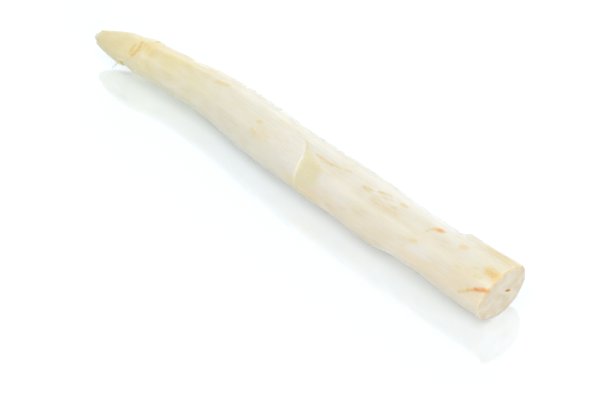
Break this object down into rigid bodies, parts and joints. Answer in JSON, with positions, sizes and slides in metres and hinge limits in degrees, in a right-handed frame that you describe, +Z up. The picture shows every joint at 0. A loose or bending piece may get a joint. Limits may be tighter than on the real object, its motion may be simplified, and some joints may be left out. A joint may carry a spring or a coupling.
{
  "type": "white asparagus spear",
  "caption": "Peeled white asparagus spear with a closed head of scale leaves, long flat peel facets and a cut base, lying on its side.",
  "frame": {"origin": "middle of the spear's box, on the surface that it lies on", "axes": "+X from the head's tip to the cut end, +Y sideways, +Z up"},
  "size_m": [0.2198, 0.0308, 0.0243],
  "materials": {
    "flesh": "moist peeled vegetable flesh, ivory white with a pale yellow head and a few orange-brown marks"
  },
  "bodies": {
    "root": {"spear": "flesh"}
  },
  "joints": []
}
